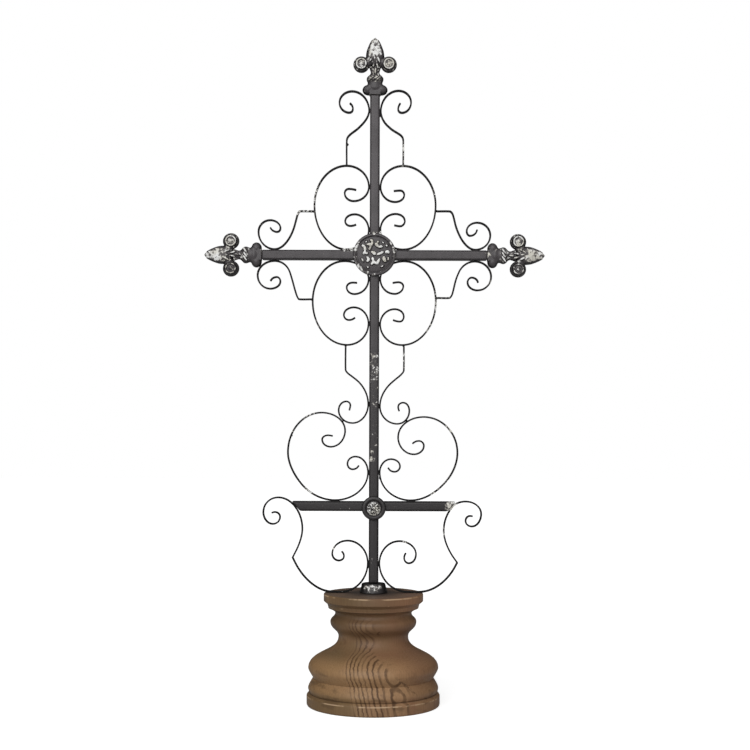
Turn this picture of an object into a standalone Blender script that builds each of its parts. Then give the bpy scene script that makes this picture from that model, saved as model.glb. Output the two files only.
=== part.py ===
"""Tabletop cross: square wrought-iron bars filled with bent strip scrolls, cast finials and rosettes,
standing on a turned pine foot. Sizes are in millimetres. +Z is up, the cross stands in the XZ plane,
its front looks towards -Y, and the origin is the middle of the foot's underside."""

from math import acos, ceil, copysign, cos, pi, radians, sin, sqrt, tan

import bmesh
import bpy
from mathutils import Matrix, Vector
from mathutils.geometry import interpolate_bezier

MM = 0.001  # metres in a millimetre

# Room left between pieces that touch, filled by weld or glue
WELD_GAP = 0.3
# How far a flat facet may cut inside a round bend
BEND_SAG = 0.3
TURNING_SAG = 0.8
CASTING_SAG = 0.7
RESTING_SAG = 0.01
# How many facets there are round a turned piece and round a casting's forms
TURNING_STEPS = 32
FINIAL_STEPS = 8
ROSETTE_STEPS = 24
PETAL_STEPS = 6

# Square bars
BAR_SIDE = 10.0
BAR_EDGE = 0.8
LOWER_ARM_REACH = 82.4
LOWER_ARM_RISE = 92.0
LOWER_END_SLANT = 50.0

# Flat strip that the scrolls are bent from, and the height of each kind of scroll
STRIP_THICKNESS = 1.8
STRIP_DEPTH = 5.0
UPPER_C_RISE = 88.6
LOWER_C_DROP = 88.8
TOP_S_DROP = 48.2
LOWER_S_RISE = 56.6
SIDE_SCROLL_RISE = 92.7
ARM_SCROLL_RISE = 40.6
LYRE_HEAD_DROP = 25.5
LYRE_FOOT_RISE = 54.1
# Straight lengths between two scrolls
UPPER_LEG = 25.2
LOWER_LEG = 25.0
ARM_STUB = 12.6

# Turned pine foot, from the sole up: the radius of each line, and its height above the line before it
SOLE_RADIUS = 68.8
SOLE_ROUND = 2.2
PLINTH_RADIUS = 70.5
PLINTH_BAND = 8.0
LOWER_GROOVE_RADIUS = 67.2
LOWER_GROOVE_STEP = 3.6
LOWER_ROLL_RADIUS = 68.9
LOWER_ROLL_STEP = 4.8
UPPER_GROOVE_RADIUS = 63.4
UPPER_GROOVE_STEP = 10.6
UPPER_ROLL_RADIUS = 68.9
UPPER_ROLL_STEP = 10.4
WAIST_RADIUS = 36.9
WAIST_STEP = 32.5
BEAD_RADIUS = 45.6
BEAD_STEP = 15.9
NECK_RADIUS = 40.5
NECK_STEP = 9.4
COLLAR_RADIUS = 47.8
COLLAR_FLARE = 0.8
COLLAR_STEP = 5.2
COLLAR_BAND = 3.9
RIM_RADIUS = 52.7
RIM_STEP = 3.6
RIM_BAND = 6.4
RIM_ROUND = 1.5

# Iron socket that the post stands in
SOCKET_TOP_RADIUS = 12.8
SOCKET_FOOT_RADIUS = 15.0
SOCKET_HEIGHT = 10.2

# Cast finial
FINIAL_LENGTH = 61.2
LOBE_SPREAD = 6.9
LOBE_RADIUS = 6.6
LOBE_LENGTH = 11.4
LOBE_DEPTH = 11.2
STEM_RADIUS = 8.0
RING_RADIUS = 9.1
RING_HEIGHT = 17.3
THROAT_RADIUS = 5.2
THROAT_HEIGHT = 26.4
KNOB_RADIUS = 8.8
KNOB_SPREAD = 14.7
KNOB_DEPTH = 13.0
KNOB_HEIGHT = 32.9
KNOB_BAR_RADIUS = 3.4
BUD_RADIUS = 9.8
BUD_HEIGHT = 39.0
BUD_FLATNESS = 0.78

# Cast rosettes on the front of the two crossings
BOSS_RADIUS = 21.5
BOSS_THICKNESS = 6.0
BOSS_LIP_WIDTH = 3.4
BOSS_PETAL_REACH = 13.4
BOSS_PETALS = 8
SMALL_BOSS_RADIUS = 12.0
SMALL_BOSS_THICKNESS = 5.0
SMALL_BOSS_LIP_WIDTH = 3.6
SMALL_BOSS_PETAL_REACH = 6.2
SMALL_BOSS_PETALS = 8
SMALL_BOSS_DROP = 1.9
ROSETTE_RELIEF = 1.3

# How a bend runs where it is named: level, upright, free to a tip, an angle in degrees
# from straight out, or a pair of angles at a kink
LEVEL = "level"
UPRIGHT = "upright"
FREE = "free"

# Every scroll below is a list of its bends, from one tip to the other. A bend is how far it is
# out from the post's side, how far up from the bar or wood that the scroll sits on, and its run.
# The lists are drawn at about full size, and each pair is then fitted to its own named height.
# Left and right were bent by hand, so they differ a little.
SIDES = {"left": -1, "right": 1}
UPPER_C = {
    "left": [
        (13.4, 62.9, FREE), (21.3, 64.1, LEVEL), (25.6, 59.5, UPRIGHT), (16.0, 51.2, LEVEL),
        (0.0, 66.5, UPRIGHT), (23.5, 88.6, LEVEL), (57.6, 46.8, UPRIGHT), (23.5, 0.0, LEVEL),
        (0.0, 20.3, UPRIGHT), (15.0, 37.2, LEVEL), (25.0, 30.0, UPRIGHT), (19.8, 24.9, LEVEL),
        (13.3, 26.3, FREE),
    ],
    "right": [
        (13.9, 62.0, FREE), (21.0, 62.5, LEVEL), (25.1, 57.6, UPRIGHT), (15.3, 50.4, LEVEL),
        (0.0, 66.1, UPRIGHT), (24.0, 88.6, LEVEL), (58.4, 46.7, UPRIGHT), (24.1, 0.0, LEVEL),
        (0.0, 21.0, UPRIGHT), (16.0, 37.7, LEVEL), (25.8, 30.3, UPRIGHT), (20.6, 24.7, LEVEL),
        (14.5, 25.7, FREE),
    ],
}
LOWER_C = {
    "left": [
        (12.1, -23.0, FREE), (17.2, -22.8, LEVEL), (23.2, -28.0, UPRIGHT), (15.0, -34.9, LEVEL),
        (0.0, -19.0, UPRIGHT), (25.5, 0.0, LEVEL), (59.2, -42.6, UPRIGHT), (22.6, -88.8, LEVEL),
        (0.0, -66.3, UPRIGHT), (15.5, -49.0, LEVEL), (26.1, -57.0, UPRIGHT),
        (20.8, -62.4, LEVEL), (14.1, -59.9, FREE),
    ],
    "right": [
        (13.0, -23.0, FREE), (19.0, -22.2, LEVEL), (24.4, -26.4, UPRIGHT), (15.0, -34.6, LEVEL),
        (0.0, -18.8, UPRIGHT), (25.5, 0.0, LEVEL), (58.9, -42.6, UPRIGHT), (23.2, -88.8, LEVEL),
        (0.0, -67.0, UPRIGHT), (15.3, -50.8, LEVEL), (25.0, -58.5, UPRIGHT),
        (21.0, -63.9, LEVEL), (13.5, -62.3, FREE),
    ],
}
TOP_S = {
    "left": [
        (20.4, -8.2, FREE), (17.2, -14.3, UPRIGHT), (20.8, -18.3, LEVEL), (31.4, -7.7, UPRIGHT),
        (18.0, 4.3, LEVEL), (0.0, -16.3, UPRIGHT), (11.0, -34.4, -42), (20.4, -41.9, -41),
        (23.6, -48.2, UPRIGHT),
    ],
    "right": [
        (20.6, -8.2, FREE), (18.4, -14.7, UPRIGHT), (22.3, -18.3, LEVEL), (32.0, -7.3, UPRIGHT),
        (18.8, 5.0, LEVEL), (0.0, -16.8, UPRIGHT), (10.6, -35.2, -37), (21.2, -42.2, -36),
        (23.9, -48.2, UPRIGHT),
    ],
}
# The lower S-scroll is measured up from its own foot, and let down until it rests on the side scroll
LOWER_S = {
    "left": [
        (24.1, 56.6, UPRIGHT), (17.0, 49.2, -147), (0.0, 20.0, UPRIGHT), (16.6, 0.0, LEVEL),
        (31.3, 13.5, UPRIGHT), (23.4, 22.9, LEVEL), (18.9, 18.7, UPRIGHT), (20.0, 13.3, FREE),
    ],
    "right": [
        (25.2, 56.6, UPRIGHT), (16.0, 46.8, -143), (0.0, 18.6, UPRIGHT), (18.4, 0.0, LEVEL),
        (31.2, 13.8, UPRIGHT), (24.8, 22.5, LEVEL), (19.4, 18.2, UPRIGHT), (20.6, 13.3, FREE),
    ],
}
SIDE_SCROLL = {
    "left": [
        (37.4, 68.0, FREE), (42.5, 68.7, LEVEL), (48.7, 64.1, UPRIGHT), (39.6, 56.5, LEVEL),
        (24.4, 73.8, UPRIGHT), (49.2, 92.7, LEVEL), (84.9, 50.8, UPRIGHT), (71.8, 18.7, -128),
        (35.0, 0.0, LEVEL), (0.0, 29.4, UPRIGHT), (13.2, 46.2, LEVEL), (21.8, 38.7, UPRIGHT),
        (16.2, 32.7, LEVEL), (9.6, 36.8, FREE),
    ],
    "right": [
        (34.5, 60.0, FREE), (41.5, 63.0, LEVEL), (46.7, 57.8, UPRIGHT), (36.0, 48.8, LEVEL),
        (19.4, 67.0, UPRIGHT), (46.4, 88.4, LEVEL), (82.3, 50.5, UPRIGHT), (69.8, 19.5, -131),
        (33.0, 0.0, LEVEL), (0.0, 29.5, UPRIGHT), (12.0, 43.6, LEVEL), (21.5, 36.1, UPRIGHT),
        (15.6, 30.2, LEVEL), (8.7, 34.5, FREE),
    ],
}
# The arm scrolls are measured inwards from the finial's seat, so their outs are mostly negative
UPPER_ARM_SCROLL = {
    "left": [
        (-40.2, 40.2, LEVEL), (-36.2, 31.0, -78), (-13.7, 0.0, LEVEL), (3.6, 18.3, UPRIGHT),
        (-8.7, 30.7, LEVEL), (-19.6, 22.3, UPRIGHT), (-16.2, 18.3, LEVEL), (-8.8, 22.9, FREE),
    ],
    "right": [
        (-40.0, 40.6, LEVEL), (-35.6, 34.0, -79), (-12.7, 0.0, LEVEL), (3.2, 15.1, UPRIGHT),
        (-10.6, 28.7, LEVEL), (-21.8, 19.8, UPRIGHT), (-18.2, 14.8, LEVEL), (-10.7, 21.3, FREE),
    ],
}
LOWER_ARM_SCROLL = {
    "left": [
        (-39.7, -40.6, LEVEL), (-35.3, -31.0, 75), (-29.0, -10.2, 66), (-13.7, 0.0, LEVEL),
        (4.4, -15.3, UPRIGHT), (-9.0, -29.5, LEVEL), (-19.7, -21.8, UPRIGHT),
        (-15.8, -17.1, LEVEL), (-9.1, -21.4, FREE),
    ],
    "right": [
        (-40.2, -38.8, LEVEL), (-35.9, -31.0, 79), (-29.3, -10.2, 62), (-13.0, 0.0, LEVEL),
        (4.2, -16.3, UPRIGHT), (-10.2, -30.6, LEVEL), (-20.7, -22.2, UPRIGHT),
        (-16.2, -17.1, LEVEL), (-9.5, -22.5, FREE),
    ],
}
# The lyre's head is measured from the lower arm's end, its foot from the post's side and the wood
LYRE_HEAD = {
    "left": [
        (24.2, -7.4, FREE), (20.8, -6.6, LEVEL), (15.3, -11.8, UPRIGHT), (22.8, -19.2, LEVEL),
        (33.0, -6.5, UPRIGHT), (17.3, 8.9, LEVEL), (0.0, 0.0, -129), (-8.4, -24.5, UPRIGHT),
    ],
    "right": [
        (20.9, -10.5, FREE), (17.9, -10.2, LEVEL), (13.4, -15.5, UPRIGHT), (20.0, -21.3, LEVEL),
        (29.9, -8.0, UPRIGHT), (13.6, 5.1, LEVEL), (0.0, 0.0, -132), (-9.7, -25.5, UPRIGHT),
    ],
}
LYRE_FOOT = {
    "left": [
        (79.6, 36.1, (-61, -114)), (37.0, 0.0, LEVEL), (28.0, 0.0, LEVEL), (0.0, 30.6, UPRIGHT),
        (21.4, 54.1, LEVEL), (37.6, 40.3, UPRIGHT), (30.6, 33.0, LEVEL), (25.2, 37.6, UPRIGHT),
        (27.6, 42.8, FREE),
    ],
    "right": [
        (82.4, 31.1, (-52, -115)), (42.0, 0.0, LEVEL), (30.0, 0.0, LEVEL), (0.0, 30.3, UPRIGHT),
        (21.0, 53.7, LEVEL), (38.7, 39.8, UPRIGHT), (31.3, 30.3, LEVEL), (26.2, 35.8, UPRIGHT),
        (28.0, 41.1, FREE),
    ],
}


def clear_scene():
    for thing in list(bpy.data.objects):
        bpy.data.objects.remove(thing, do_unlink=True)


def linear(value):
    """An sRGB value, 0 to 255, as linear light."""
    share = value / 255
    return share / 12.92 if share <= 0.04045 else ((share + 0.055) / 1.055) ** 2.4


def make_material(name, srgb, roughness, metallic):
    material = bpy.data.materials.new(name)
    material.use_nodes = True
    shader = material.node_tree.nodes["Principled BSDF"]
    shader.inputs["Base Color"].default_value = (*map(linear, srgb), 1.0)
    shader.inputs["Roughness"].default_value = roughness
    shader.inputs["Metallic"].default_value = metallic
    return material


def add_object(name, mesh, material):
    """An object of this mesh in the scene, smooth but for its sharp edges."""
    mesh.shade_smooth()
    mesh.set_sharp_from_angle(angle=radians(35))
    mesh.materials.clear()
    mesh.materials.append(material)
    thing = bpy.data.objects.new(name, mesh)
    bpy.context.scene.collection.objects.link(thing)
    return thing


def mesh_of(name, shape):
    """The bmesh as a mesh in metres, its faces turned outwards."""
    bmesh.ops.remove_doubles(shape, verts=shape.verts, dist=0.001)
    bmesh.ops.recalc_face_normals(shape, faces=shape.faces)
    bmesh.ops.scale(shape, vec=(MM, MM, MM), verts=shape.verts)
    mesh = bpy.data.meshes.new(name)
    shape.to_mesh(mesh)
    shape.free()
    return mesh


# Bends and turned profiles


def directions(bends, i):
    """Which way the line arrives at bend i and leaves it, or None where it is free."""
    run = bends[i][2]
    before = bends[max(i - 1, 0)]
    after = bends[min(i + 1, len(bends) - 1)]
    if run == FREE:
        return None, None
    if run == LEVEL:
        way = Vector((copysign(1, after[0] - before[0]), 0))
        return way, way
    if run == UPRIGHT:
        way = Vector((0, copysign(1, after[1] - before[1])))
        return way, way
    arriving, leaving = run if isinstance(run, tuple) else (run, run)
    return (
        Vector((cos(radians(arriving)), sin(radians(arriving)))),
        Vector((cos(radians(leaving)), sin(radians(leaving)))),
    )


def mirrored_about(way, chord):
    """The way that a plain round arc along this chord has at its other end."""
    along = chord.normalized()
    return (2 * way.dot(along) * along - way).normalized()


def arc(start, leaving, end, arriving, sag):
    """The points after start of the round bend to end, a quarter ellipse where its ends are square."""
    chord = end - start
    if leaving is None and arriving is None:
        return [end]
    leaving = leaving or mirrored_about(arriving, chord)
    arriving = arriving or mirrored_about(leaving, chord)
    turn = leaving.angle(arriving)
    spin = leaving.cross(arriving)
    if abs(spin) > 0.02:
        to_corner = chord.cross(arriving) / spin
        from_corner = leaving.cross(chord) / spin
        share = 4 / 3 * tan(turn / 4) / tan(turn / 2)
        radius = chord.length / (2 * sin(turn / 2))
        facets = ceil(turn / (2 * acos(1 - min(sag / radius, 0.2))))
    elif abs(leaving.cross(chord)) < 0.01:
        return [end]
    else:
        # An S-bend: both ends run the same way, side by side
        to_corner = from_corner = abs(chord.dot(leaving))
        share = 0.5
        facets = ceil((chord.length / sag) ** 0.5 / 1.6)
    handles = start + leaving * to_corner * share, end - arriving * from_corner * share
    return interpolate_bezier(start, *handles, end, facets + 1)[1:]


def rounded_line(bends, sag):
    """Points along the line through these bends."""
    points = [Vector(bends[0][:2])]
    for i in range(1, len(bends)):
        leaving = directions(bends, i - 1)[1]
        arriving = directions(bends, i)[0]
        ends = Vector(bends[i - 1][:2]), Vector(bends[i][:2])
        points += [Vector(p[:2]) for p in arc(ends[0], leaving, ends[1], arriving, sag)]
    return points


def fitted(drawn, side_name, height):
    """One side's bends, at the scale where the pair is this high, or this low if it is negative."""
    ups = [bend[1] for bends in drawn.values() for bend in bends]
    scale = height / (max(ups) if height > 0 else min(ups))
    return [(out * scale, up * scale, run) for out, up, run in drawn[side_name]]


def moved(bends, out, up):
    return [(bend[0] + out, bend[1] + up, bend[2]) for bend in bends]


def reach_of(bends):
    return max(bend[0] for bend in bends)


def lift_to_rest(upper, lower):
    """How far up the first scroll goes, so that its strip just rests on the second scroll's."""
    apart = STRIP_THICKNESS + WELD_GAP
    lower_points = rounded_line(lower, RESTING_SAG)
    return max(
        q.y - p.y + sqrt(apart ** 2 - (p.x - q.x) ** 2)
        for p in rounded_line(upper, RESTING_SAG)
        for q in lower_points
        if abs(p.x - q.x) < apart
    )


# Lines that the pieces are set from, outwards from the middle and up from the sole
SIDE_LINE = BAR_SIDE / 2 + WELD_GAP + STRIP_THICKNESS / 2
STRIP_SEAT = STRIP_THICKNESS / 2 + WELD_GAP
FOOT_STEPS = (
    SOLE_ROUND, PLINTH_BAND, LOWER_GROOVE_STEP, LOWER_ROLL_STEP, UPPER_GROOVE_STEP,
    UPPER_ROLL_STEP, WAIST_STEP, BEAD_STEP, NECK_STEP, COLLAR_STEP, COLLAR_BAND, RIM_STEP,
    RIM_BAND, RIM_ROUND,
)
WOOD_TOP = sum(FOOT_STEPS)
SOCKET_TOP = WOOD_TOP + WELD_GAP + SOCKET_HEIGHT
LOWER_ARM_HEIGHT = WOOD_TOP + LOWER_ARM_RISE
LOWER_SCROLL_LINE = LOWER_ARM_HEIGHT + SIDE_LINE
LOWER_S_LIFT = {
    name: lift_to_rest(
        fitted(LOWER_S, name, LOWER_S_RISE), fitted(SIDE_SCROLL, name, SIDE_SCROLL_RISE)
    )
    for name in SIDES
}
LOWER_S_TOP = LOWER_SCROLL_LINE + max(LOWER_S_LIFT.values()) + LOWER_S_RISE
LOWER_C_CROWN = LOWER_S_TOP + LOWER_LEG + STRIP_SEAT
CROSS_UNDERLINE = LOWER_C_CROWN + LOWER_C_DROP
CROSS_HEIGHT = CROSS_UNDERLINE + SIDE_LINE
CROSS_OVERLINE = CROSS_HEIGHT + SIDE_LINE
UPPER_C_CROWN = CROSS_OVERLINE + UPPER_C_RISE
POST_TOP = UPPER_C_CROWN + STRIP_SEAT + UPPER_LEG + TOP_S_DROP
C_REACH = SIDE_LINE + max(
    reach_of(fitted(drawn, name, height))
    for drawn, height in ((UPPER_C, UPPER_C_RISE), (LOWER_C, -LOWER_C_DROP))
    for name in SIDES
)
ARM_SCROLL_START = min(
    fitted(drawn, name, height)[0][0]
    for drawn, height in (
        (UPPER_ARM_SCROLL, ARM_SCROLL_RISE), (LOWER_ARM_SCROLL, -ARM_SCROLL_RISE))
    for name in SIDES
)
ARM_REACH = C_REACH + STRIP_SEAT + ARM_STUB - ARM_SCROLL_START


def turned(bends, steps, sag):
    """A bmesh turned round Z from a profile that starts and ends on the axis, top to bottom."""
    shape = bmesh.new()
    line = [shape.verts.new((p.x, 0, p.y)) for p in rounded_line(bends, sag)]
    edges = [shape.edges.new(pair) for pair in zip(line, line[1:])]
    bmesh.ops.spin(
        shape, geom=line + edges, cent=(0, 0, 0), axis=(0, 0, 1),
        angle=2 * pi, steps=steps, use_merge=True,
    )
    return shape


# Scrolls


def strip(name, bends, side, material):
    """A strip bent to a scroll: its centre line drawn out to a ribbon, then given its thickness."""
    shape = bmesh.new()
    line = [
        shape.verts.new((side * p.x, -STRIP_DEPTH / 2, p.y)) for p in rounded_line(bends, BEND_SAG)
    ]
    edges = [shape.edges.new(pair) for pair in zip(line, line[1:])]
    ribbon = bmesh.ops.extrude_edge_only(shape, edges=edges)
    far_side = [v for v in ribbon["geom"] if isinstance(v, bmesh.types.BMVert)]
    bmesh.ops.translate(shape, vec=(0, STRIP_DEPTH, 0), verts=far_side)
    thing = add_object(name, mesh_of(name, shape), material)
    thickness = thing.modifiers.new("Thickness", "SOLIDIFY")
    thickness.thickness = STRIP_THICKNESS * MM
    thickness.offset = 0
    thickness.use_even_offset = True


def c_scrolls(side_name, side, material):
    """The two C-scrolls in the upper and lower corner of one arm. Returns how far out each goes."""
    upper = moved(fitted(UPPER_C, side_name, UPPER_C_RISE), SIDE_LINE, CROSS_OVERLINE)
    lower = moved(fitted(LOWER_C, side_name, -LOWER_C_DROP), SIDE_LINE, CROSS_UNDERLINE)
    strip(f"upper_c_scroll_{side_name}", upper, side, material)
    strip(f"lower_c_scroll_{side_name}", lower, side, material)
    return reach_of(upper), reach_of(lower)


def arm_scrolls(side_name, side, c_reaches, material):
    """The hooked scrolls that run from each C-scroll's side along the arm to its finial."""
    lists = (
        ("upper", UPPER_ARM_SCROLL, ARM_SCROLL_RISE, CROSS_OVERLINE),
        ("lower", LOWER_ARM_SCROLL, -ARM_SCROLL_RISE, CROSS_UNDERLINE),
    )
    for (level, drawn, height, line), c_reach in zip(lists, c_reaches):
        bends = moved(fitted(drawn, side_name, height), ARM_REACH, line)
        start = (c_reach + STRIP_SEAT, bends[0][1], LEVEL)
        strip(f"{level}_arm_scroll_{side_name}", [start, *bends], side, material)


def s_scrolls(side_name, side, material):
    """The S-scrolls over the upper C-scroll and under the lower one, each with a straight leg."""
    top = moved(fitted(TOP_S, side_name, -TOP_S_DROP), SIDE_LINE, POST_TOP)
    foot = (top[-1][0], UPPER_C_CROWN + STRIP_SEAT, UPRIGHT)
    strip(f"top_s_scroll_{side_name}", [*top, foot], side, material)
    lower_line = LOWER_SCROLL_LINE + LOWER_S_LIFT[side_name]
    lower = moved(fitted(LOWER_S, side_name, LOWER_S_RISE), SIDE_LINE, lower_line)
    head = (lower[0][0], LOWER_C_CROWN - STRIP_SEAT, UPRIGHT)
    strip(f"lower_s_scroll_{side_name}", [head, *lower], side, material)


def side_scrolls(side_name, side, material):
    """The large scroll that stands on the lower arm against the post."""
    bends = moved(fitted(SIDE_SCROLL, side_name, SIDE_SCROLL_RISE), SIDE_LINE, LOWER_SCROLL_LINE)
    strip(f"side_scroll_{side_name}", bends, side, material)


def lyre_scrolls(side_name, side, material):
    """The long scroll that wraps the lower arm's end, kinks, and comes back over the wood to the post."""
    seat_across = STRIP_SEAT / sin(radians(LOWER_END_SLANT))
    head = moved(
        fitted(LYRE_HEAD, side_name, -LYRE_HEAD_DROP),
        LOWER_ARM_REACH + seat_across, LOWER_ARM_HEIGHT,
    )
    foot = moved(fitted(LYRE_FOOT, side_name, LYRE_FOOT_RISE), SIDE_LINE, WOOD_TOP + STRIP_SEAT)
    strip(f"lyre_scroll_{side_name}", head + foot, side, material)


# Bars


def bar(name, length, material, slant=None):
    """A square bar from the origin up Z, with eased edges. A slant cuts its far end, in degrees."""
    shape = bmesh.new()
    bmesh.ops.create_cube(shape, size=1)
    bmesh.ops.scale(shape, vec=(BAR_SIDE, BAR_SIDE, length), verts=shape.verts)
    bmesh.ops.translate(shape, vec=(0, 0, length / 2), verts=shape.verts)
    if slant:
        for vert in shape.verts:
            if vert.co.z > length / 2:
                vert.co.z += vert.co.x / tan(radians(slant))
    long_edges = [
        edge for edge in shape.edges
        if abs(edge.verts[0].co.z - edge.verts[1].co.z) > length / 2
    ]
    bmesh.ops.bevel(
        shape, geom=long_edges, offset=BAR_EDGE, segments=1, profile=0.5,
        affect="EDGES", material=-1,
    )
    return add_object(name, mesh_of(name, shape), material)


def make_bars(material):
    post = bar("post", POST_TOP - WELD_GAP - (SOCKET_TOP + WELD_GAP), material)
    post.location.z = (SOCKET_TOP + WELD_GAP) * MM
    root = BAR_SIDE / 2 + WELD_GAP
    for side_name, side in SIDES.items():
        arm = bar(f"arm_{side_name}", ARM_REACH - WELD_GAP - root, material)
        arm.location = (side * root * MM, 0, CROSS_HEIGHT * MM)
        arm.rotation_euler.y = side * pi / 2
        lower = bar(
            f"lower_arm_{side_name}", LOWER_ARM_REACH - root, material,
            slant=-side * LOWER_END_SLANT,
        )
        lower.location = (side * root * MM, 0, LOWER_ARM_HEIGHT * MM)
        lower.rotation_euler.y = side * pi / 2


# Castings


def ellipsoid(centre, radii, steps):
    shape = bmesh.new()
    bmesh.ops.create_uvsphere(shape, u_segments=steps, v_segments=steps // 2 + 1, radius=1)
    bmesh.ops.scale(shape, vec=radii, verts=shape.verts)
    bmesh.ops.translate(shape, vec=centre, verts=shape.verts)
    return shape


def united(name, shapes):
    """One closed mesh of all these bmeshes, joined by Boolean unions."""
    helpers = [bpy.data.objects.new(name, mesh_of(name, shape)) for shape in shapes]
    for helper in helpers:
        bpy.context.scene.collection.objects.link(helper)
    for other in helpers[1:]:
        union = helpers[0].modifiers.new("Union", "BOOLEAN")
        union.operation = "UNION"
        union.object = other
    bpy.context.view_layer.update()
    graph = bpy.context.evaluated_depsgraph_get()
    mesh = bpy.data.meshes.new_from_object(helpers[0].evaluated_get(graph))
    for helper in helpers:
        bpy.data.objects.remove(helper, do_unlink=True)
    return mesh


def finial_shapes():
    """The finial's forms, standing on its seat: two lobes, a ringed stem, two knobs and a bud."""
    bud_length = FINIAL_LENGTH - BUD_HEIGHT
    seat_length = LOBE_LENGTH - 1.5 * BAR_EDGE
    stem = turned(
        [
            (0.0, FINIAL_LENGTH, FREE),
            (BUD_RADIUS * 0.48, FINIAL_LENGTH - bud_length * 0.1, -46),
            (BUD_RADIUS * 0.92, BUD_HEIGHT + bud_length * 0.44, -72),
            (BUD_RADIUS, BUD_HEIGHT, UPRIGHT),
            (THROAT_RADIUS, THROAT_HEIGHT, UPRIGHT),
            (RING_RADIUS, RING_HEIGHT, UPRIGHT),
            (STEM_RADIUS, LOBE_LENGTH, UPRIGHT),
            (STEM_RADIUS, BAR_EDGE / 2, FREE),
            (0.0, BAR_EDGE / 2, FREE),
        ],
        FINIAL_STEPS, CASTING_SAG,
    )
    bmesh.ops.scale(stem, vec=(1, BUD_FLATNESS, 1), verts=stem.verts)
    seat = bmesh.new()
    bmesh.ops.create_cube(seat, size=1)
    bmesh.ops.scale(seat, vec=(2 * LOBE_SPREAD, BAR_SIDE, seat_length), verts=seat.verts)
    bmesh.ops.translate(seat, vec=(0, 0, seat_length / 2), verts=seat.verts)
    bmesh.ops.bevel(
        seat, geom=seat.edges[:], offset=BAR_EDGE, segments=1, profile=0.5,
        affect="EDGES", material=-1,
    )
    knob_bar = bmesh.new()
    bmesh.ops.create_cone(
        knob_bar, cap_ends=True, segments=8, radius1=KNOB_BAR_RADIUS, radius2=KNOB_BAR_RADIUS,
        depth=2 * KNOB_SPREAD,
    )
    bmesh.ops.rotate(knob_bar, matrix=Matrix.Rotation(pi / 2, 3, "Y"), verts=knob_bar.verts)
    bmesh.ops.translate(knob_bar, vec=(0, 0, KNOB_HEIGHT), verts=knob_bar.verts)
    lobes = [
        ellipsoid(
            (side * LOBE_SPREAD, 0, LOBE_LENGTH / 2 + BAR_EDGE / 4),
            (LOBE_RADIUS, LOBE_DEPTH / 2, LOBE_LENGTH / 2), FINIAL_STEPS,
        )
        for side in SIDES.values()
    ]
    knobs = [
        ellipsoid(
            (side * KNOB_SPREAD, 0, KNOB_HEIGHT),
            (KNOB_RADIUS, KNOB_DEPTH / 2, KNOB_RADIUS), FINIAL_STEPS,
        )
        for side in SIDES.values()
    ]
    return [stem, seat, knob_bar, *lobes, *knobs]


def make_finials(material):
    mesh = united("finial", finial_shapes())
    add_object("finial_top", mesh, material).location.z = POST_TOP * MM
    for side_name, side in SIDES.items():
        finial = add_object(f"finial_{side_name}", mesh, material)
        finial.location = (side * ARM_REACH * MM, 0, CROSS_HEIGHT * MM)
        finial.rotation_euler.y = side * pi / 2


def rosette_shapes(radius, thickness, lip_width, petal_reach, petals):
    """A round boss facing +Z: a raised lip, a low dome inside it, and a ring of petals round an eye."""
    floor = thickness - 2 * ROSETTE_RELIEF
    lip_mid = radius - lip_width / 2
    disc = turned(
        [
            (0.0, thickness - ROSETTE_RELIEF, FREE),
            (radius - lip_width, floor, -20),
            (lip_mid, floor + ROSETTE_RELIEF * 0.9, LEVEL),
            (radius, floor - ROSETTE_RELIEF / 4, UPRIGHT),
            (radius, 0.0, FREE),
            (0.0, 0.0, FREE),
        ],
        ROSETTE_STEPS, CASTING_SAG / 2,
    )
    shapes = [disc]
    eye = petal_reach * 0.26
    shapes.append(
        ellipsoid((0, 0, thickness - ROSETTE_RELIEF), (eye, eye, ROSETTE_RELIEF), PETAL_STEPS)
    )
    half_length = (petal_reach - eye) / 2
    half_width = pi * petal_reach / petals * 0.52
    for i in range(petals):
        petal = ellipsoid(
            (eye + half_length, 0, thickness - ROSETTE_RELIEF * 1.25),
            (half_length, half_width, ROSETTE_RELIEF), PETAL_STEPS,
        )
        turn = Matrix.Rotation(2 * pi * (i + 0.5) / petals, 3, "Z")
        bmesh.ops.rotate(petal, matrix=turn, verts=petal.verts)
        shapes.append(petal)
    return shapes


def make_bosses(material):
    bosses = (
        ("centre_boss", CROSS_HEIGHT, (
            BOSS_RADIUS, BOSS_THICKNESS, BOSS_LIP_WIDTH, BOSS_PETAL_REACH, BOSS_PETALS)),
        ("lower_boss", LOWER_ARM_HEIGHT - SMALL_BOSS_DROP, (
            SMALL_BOSS_RADIUS, SMALL_BOSS_THICKNESS, SMALL_BOSS_LIP_WIDTH,
            SMALL_BOSS_PETAL_REACH, SMALL_BOSS_PETALS)),
    )
    for name, height, sizes in bosses:
        boss = add_object(name, united(name, rosette_shapes(*sizes)), material)
        boss.location = (0, -(BAR_SIDE / 2 + WELD_GAP) * MM, height * MM)
        boss.rotation_euler.x = pi / 2


def make_socket(material):
    """The short iron cone on the wood that the post is welded into."""
    shape = turned(
        [
            (0.0, SOCKET_HEIGHT, FREE),
            (SOCKET_TOP_RADIUS - BAR_EDGE, SOCKET_HEIGHT, FREE),
            (SOCKET_TOP_RADIUS, SOCKET_HEIGHT - BAR_EDGE, FREE),
            (SOCKET_FOOT_RADIUS, BAR_EDGE, FREE),
            (SOCKET_FOOT_RADIUS, 0.0, FREE),
            (0.0, 0.0, FREE),
        ],
        ROSETTE_STEPS, CASTING_SAG,
    )
    socket = add_object("post_socket", mesh_of("post_socket", shape), material)
    socket.location.z = (WOOD_TOP + WELD_GAP) * MM


# Turned foot


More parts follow.
